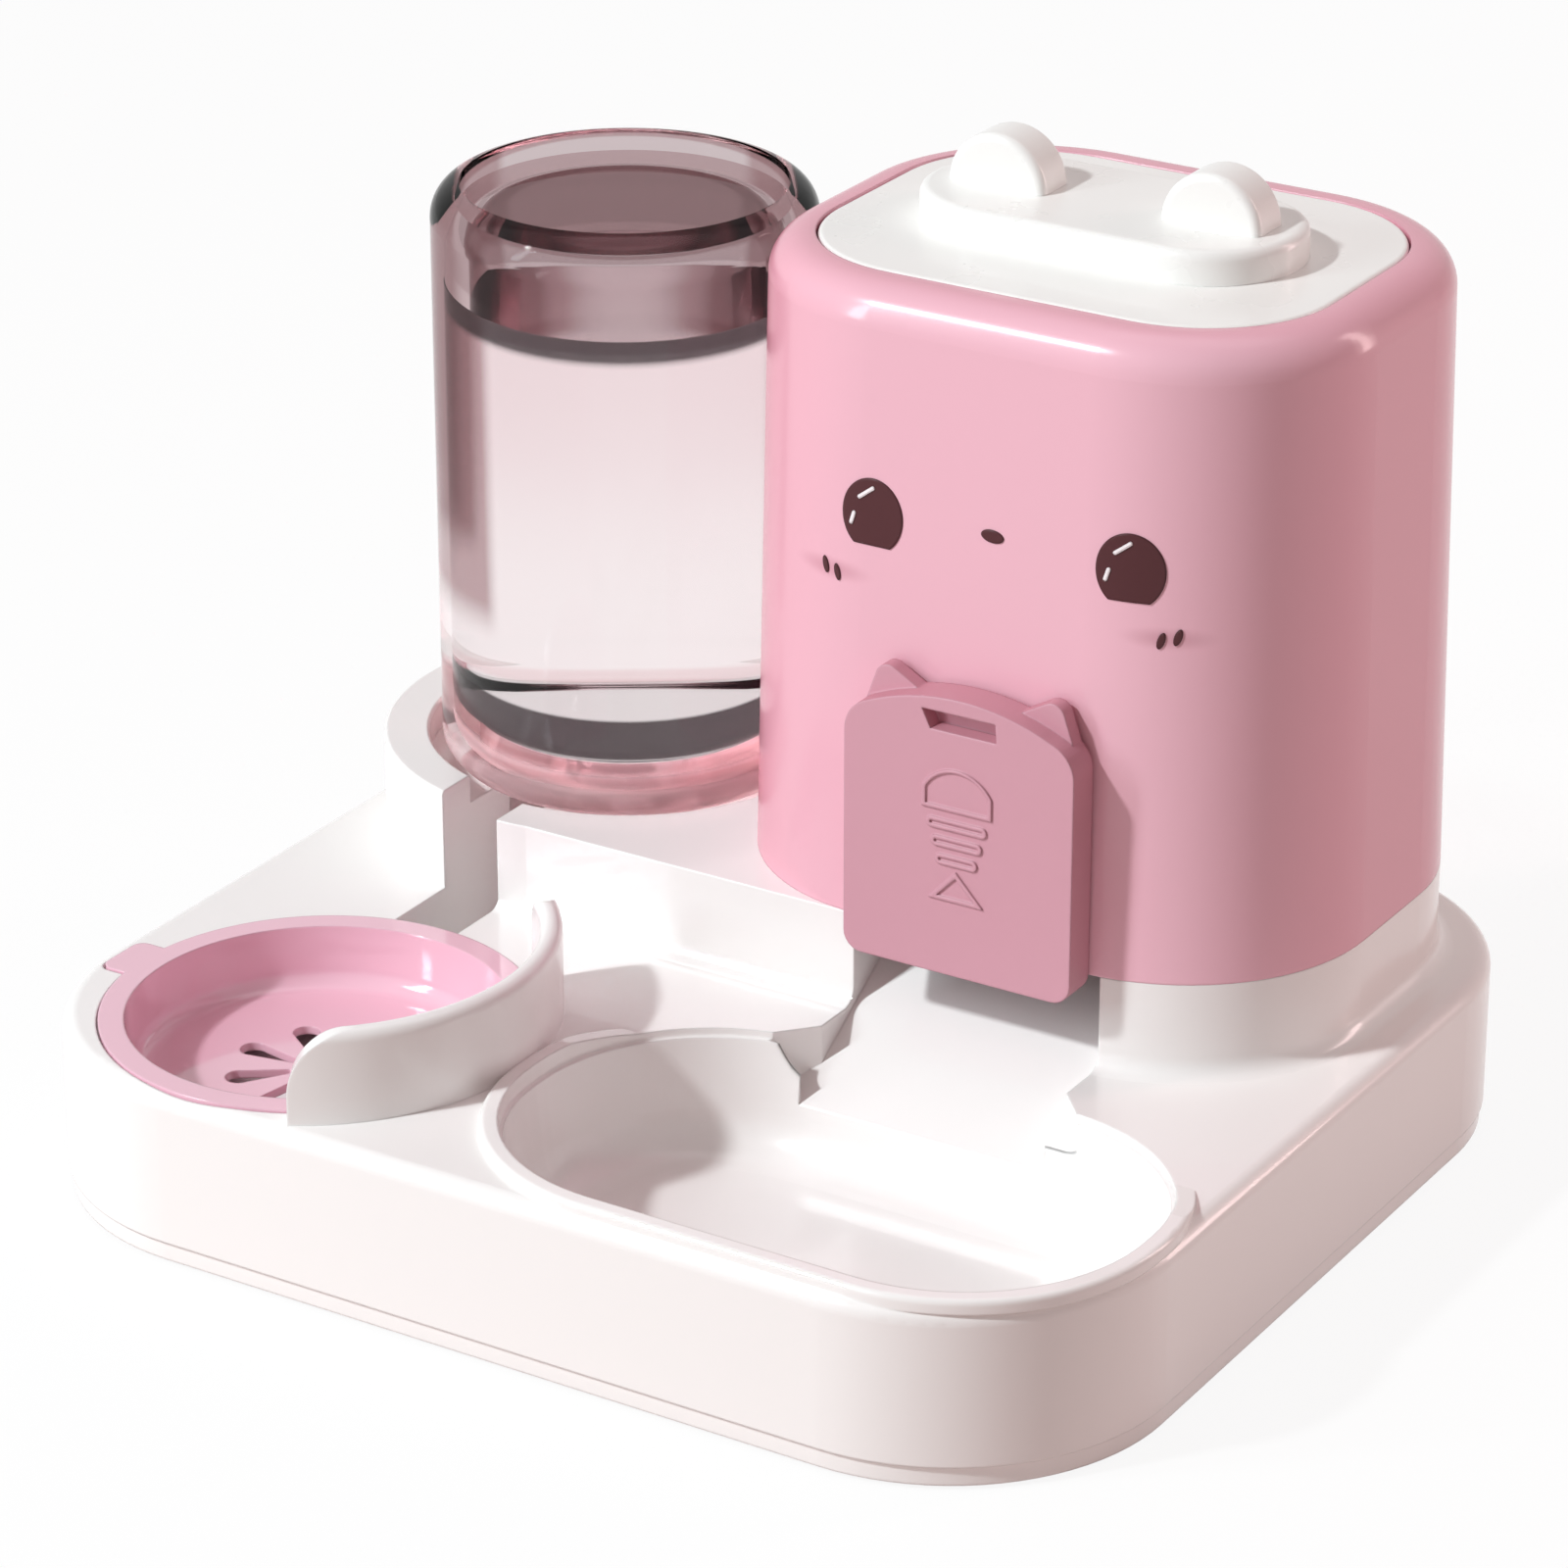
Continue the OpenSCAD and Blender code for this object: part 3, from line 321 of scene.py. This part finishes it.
# the water in it, with a painted dark ring of shade round its upper and lower edge
water = {
    "top": 0.193,
    "bottom": bottle["seat"] + 0.0125,
    "overlap": 0.0002,
    "sides": 128,
    "bevel": 0.005,
    "bevelSteps": 6,
    "meniscus": ((0.0008, 0.0009), (0.0014, 0.0005), (0.0030, 0.0002)),
    "smoothAngle": 40,
    "index": 1.28,
    "low": shade(251, 247, 248),
    # high is a painted reflection: the pink of the tank seen in the upper water
    "high": shade(243, 229, 232),
    "reflectionFrom": 0.120,
    "reflectionTo": 0.165,
    # painted shade: a near-black ring where the water's upper and lower edges look dark
    "ring": shade(40, 34, 36),
    "upperShadeRing": (-0.0075, 0.002, 0.0025),
    "lowerShadeRing": (-0.002, 0.014, 0.001),
    "flat": 0.75,
    "upright": 0.45,
    "shadow": shade(240, 230, 233),
}


def heightMask(tree, low, high):
    # 0 below low, 1 above high, along the object's own Z
    place = tree.nodes.new("ShaderNodeTexCoord")
    parts = tree.nodes.new("ShaderNodeSeparateXYZ")
    tree.links.new(place.outputs["Object"], parts.inputs[0])
    return rampNode(tree, parts.outputs["Z"], low, high)


def bandMask(tree, low, high, soft=0.001):
    # 1 between two heights
    return mathNode(tree, "SUBTRACT", heightMask(tree, low, low + soft), heightMask(tree, high - soft, high))


def throughLight(tree, surface, out, tint):
    # clear pieces let light through instead of throwing a black shadow
    path = tree.nodes.new("ShaderNodeLightPath")
    clear = tree.nodes.new("ShaderNodeBsdfTransparent")
    clear.inputs[0].default_value = tint
    tree.links.new(mixShader(tree, path.outputs["Is Shadow Ray"], surface, clear.outputs[0]), out.inputs["Surface"])


clearPlastic, tree, shader, out = newMaterial("clearPlastic")
edgeOn = tree.nodes.new("ShaderNodeLayerWeight")
edgeOn.inputs["Blend"].default_value = bottle["rimBlend"]
rim = rampNode(tree, edgeOn.outputs["Facing"], bottle["rimFrom"], bottle["rimTo"])
# painted shade: from a set height up, the bottle's edges seen edge on are tinted dark and smoky
rimShadeMask = mathNode(tree, "MULTIPLY", rim, heightMask(tree, bottle["rimShadeFrom"], bottle["rimShadeTo"]))
# painted shade: above the water line the clear plastic is tinted greyer and darker
airShadeMask = heightMask(tree, water["top"] - bottle["airShadeFade"], water["top"])
footLow = bottle["seat"] - bottle["footDrop"]
tint = mixColour(tree, airShadeMask, bottle["clear"], bottle["airShade"])
tint = mixColour(tree, rimShadeMask, tint, bottle["rimShade"])
tint = mixColour(tree, bandMask(tree, footLow, bottle["seat"] + bottle["footHeight"]), tint, bottle["foot"])
tree.links.new(tint, shader.inputs["Base Color"])
shader.inputs["Roughness"].default_value = 0.0
shader.inputs["Transmission Weight"].default_value = 1
shader.inputs["IOR"].default_value = bottle["index"]
milk = tree.nodes.new("ShaderNodeBsdfDiffuse")
milk.inputs["Color"].default_value = bottle["milk"]
milkBand = bandMask(tree, footLow, bottle["seat"] + bottle["milkHeight"], bottle["milkFade"])
milkShare = mathNode(tree, "MULTIPLY", milkBand, bottle["milkiness"])
throughLight(tree, mixShader(tree, milkShare, shader.outputs[0], milk.outputs[0]), out, bottle["shadow"])
dress(nodes["bottle"], clearPlastic)


def deselectAll():
    for item in bpy.context.selected_objects:
        item.select_set(False)


def selectOnly(item):
    deselectAll()
    item.select_set(True)
    bpy.context.view_layer.objects.active = item


def finishPiece(item, name, material, body, angle):
    # place, turn and size go into the mesh
    selectOnly(item)
    bpy.ops.object.transform_apply(location=True, rotation=True, scale=True)
    item.name = name
    item.data.name = name
    dress(item, material)
    bpy.ops.object.shade_smooth_by_angle(angle=math.radians(angle))
    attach(item, body)


def makeWater():
    # a cylinder with a round foot and a meniscus that climbs the wall
    deselectAll()
    bpy.ops.mesh.primitive_cylinder_add(
        vertices=water["sides"], radius=bottle["radius"] - bottle["wall"] + water["overlap"],
        depth=water["top"] - water["bottom"],
        location=(bottle["centre"][0], bottle["centre"][1], (water["top"] + water["bottom"]) / 2))
    item = bpy.context.object
    bpy.ops.object.mode_set(mode="EDIT")
    bpy.ops.mesh.select_all(action="DESELECT")
    mesh = bmesh.from_edit_mesh(item.data)
    for edge in mesh.edges:
        edge.select = all(v.co.z < 0 for v in edge.verts)  # the lower rim
    bmesh.update_edit_mesh(item.data)
    bpy.ops.mesh.bevel(offset=water["bevel"], segments=water["bevelSteps"], affect="EDGES")
    bpy.ops.mesh.select_all(action="DESELECT")
    mesh = bmesh.from_edit_mesh(item.data)
    for face in mesh.faces:
        face.select = face.normal.z > 0.9  # the water's top
    bmesh.update_edit_mesh(item.data)
    for width, drop in water["meniscus"]:
        bpy.ops.mesh.inset(thickness=width)
        bpy.ops.transform.translate(value=(0, 0, -drop))
    bpy.ops.object.mode_set(mode="OBJECT")
    return item


waterSkin, tree, shader, out = newMaterial("waterSkin")
upperShadeRing = bandMask(tree, water["top"] + water["upperShadeRing"][0], water["top"] + water["upperShadeRing"][1],
                     water["upperShadeRing"][2])
lowerShadeRing = bandMask(tree, water["bottom"] + water["lowerShadeRing"][0], water["bottom"] + water["lowerShadeRing"][1],
                     water["lowerShadeRing"][2])
# the painted shade rings show on the near, upright side only
surface = tree.nodes.new("ShaderNodeNewGeometry")
nearSide = mathNode(tree, "SUBTRACT", 1, surface.outputs["Backfacing"])
nearShadeRings = mathNode(tree, "MULTIPLY", mathNode(tree, "ADD", upperShadeRing, lowerShadeRing), nearSide)
lean = tree.nodes.new("ShaderNodeSeparateXYZ")
tree.links.new(surface.outputs["Normal"], lean.inputs[0])
flatness = mathNode(tree, "ABSOLUTE", lean.outputs["Z"])
upright = rampNode(tree, flatness, water["flat"], water["upright"], smooth=False)
sideShadeRings = mathNode(tree, "MULTIPLY", nearShadeRings, upright)
# painted reflection: the water is tinted pinker towards its top
waterAndReflection = mixColour(tree, heightMask(tree, water["reflectionFrom"], water["reflectionTo"]), water["low"], water["high"])
tree.links.new(mixColour(tree, sideShadeRings, waterAndReflection, water["ring"]), shader.inputs["Base Color"])
shader.inputs["Roughness"].default_value = 0.0
shader.inputs["Transmission Weight"].default_value = 1
shader.inputs["IOR"].default_value = water["index"]
throughLight(tree, shader.outputs[0], out, water["shadow"])
finishPiece(makeWater(), "bottle_water", waterSkin, "tray_body", water["smoothAngle"])
print("bottle and water made")


# floor, light and backdrop
studio = {
    "floor": 3.0,
    "floorRoughness": 0.9,
    "floorSpecular": 0.1,
    "bounce": shade(214, 192, 188),
    "paper": shade(250, 249, 249),
    "white": 0.9,
    "keyTurn": (48, 0, -38),
    "key": 1.98,
    "keySoft": 4.0,
    "keyTint": (0.93, 1.0, 1.02),
    "world": 0.29,
    "worldTint": (1.0, 0.82, 0.80, 1),
}
softboxes = {
    "left": {"place": (-0.55, -0.75, 0.5), "target": (0.05, 0.0, 0.12), "size": (0.1, 0.6),
             "power": 3.5, "tint": (0.84, 1.0, 1.04)},
    "right": {"place": (0.9, 0.9, 0.5), "target": (0.1, 0.05, 0.15), "size": (0.16, 0.9),
              "power": 4.2, "tint": (1.0, 0.75, 0.74)},
    "overhead": {"place": (0.0, 0.3, 1.3), "target": (0.0, 0.0, 0.2), "size": (0.9, 0.5),
                 "power": 1.0, "tint": (1, 1, 1)},
}


def seenRays(tree):
    # 1 for the rays that see the background straight, in a gloss or through glass
    path = tree.nodes.new("ShaderNodeLightPath")
    straight = mathNode(tree, "MAXIMUM", path.outputs["Is Camera Ray"], path.outputs["Is Glossy Ray"])
    return mathNode(tree, "MAXIMUM", straight, path.outputs["Is Transmission Ray"])


deselectAll()
bpy.ops.mesh.primitive_plane_add(size=2 * studio["floor"], location=(0, 0, 0))
floor = bpy.context.object
floor.name = "floor"
floorSkin, tree, shader, out = newMaterial("floorSkin")
shader.inputs["Base Color"].default_value = studio["bounce"]
shader.inputs["Roughness"].default_value = studio["floorRoughness"]
shader.inputs["Specular IOR Level"].default_value = studio["floorSpecular"]
paper = tree.nodes.new("ShaderNodeBsdfDiffuse")
paper.inputs["Color"].default_value = studio["paper"]
glow = tree.nodes.new("ShaderNodeEmission")
glow.inputs["Strength"].default_value = 1.0
seenFloor = mixShader(tree, studio["white"], paper.outputs[0], glow.outputs[0])
tree.links.new(mixShader(tree, seenRays(tree), shader.outputs[0], seenFloor), out.inputs["Surface"])
floor.data.materials.append(floorSkin)

keyData = bpy.data.lights.new("key", "SUN")
keyData.energy = studio["key"]
keyData.angle = math.radians(studio["keySoft"])
keyData.color = studio["keyTint"]
key = bpy.data.objects.new("key", keyData)
key.rotation_euler = [math.radians(a) for a in studio["keyTurn"]]
bpy.context.scene.collection.objects.link(key)

for name, box in softboxes.items():
    data = bpy.data.lights.new(name, "AREA")
    data.shape = "RECTANGLE"
    data.size, data.size_y = box["size"]
    data.energy = box["power"]
    data.color = box["tint"]
    lamp = bpy.data.objects.new(name, data)
    lamp.location = box["place"]
    lamp.rotation_euler = (Vector(box["target"]) - Vector(box["place"])).to_track_quat("-Z", "Y").to_euler()
    bpy.context.scene.collection.objects.link(lamp)

world = bpy.data.worlds.new("studio")
bpy.context.scene.world = world
world.use_nodes = True
sky = world.node_tree
sky.nodes.clear()
worldOut = sky.nodes.new("ShaderNodeOutputWorld")
dim = sky.nodes.new("ShaderNodeBackground")
dim.inputs["Strength"].default_value = studio["world"]
dim.inputs["Color"].default_value = studio["worldTint"]
bright = sky.nodes.new("ShaderNodeBackground")
bright.inputs["Strength"].default_value = 1.0
sky.links.new(mixShader(sky, seenRays(sky), dim.outputs[0], bright.outputs[0]), worldOut.inputs["Surface"])
print("studio lit")
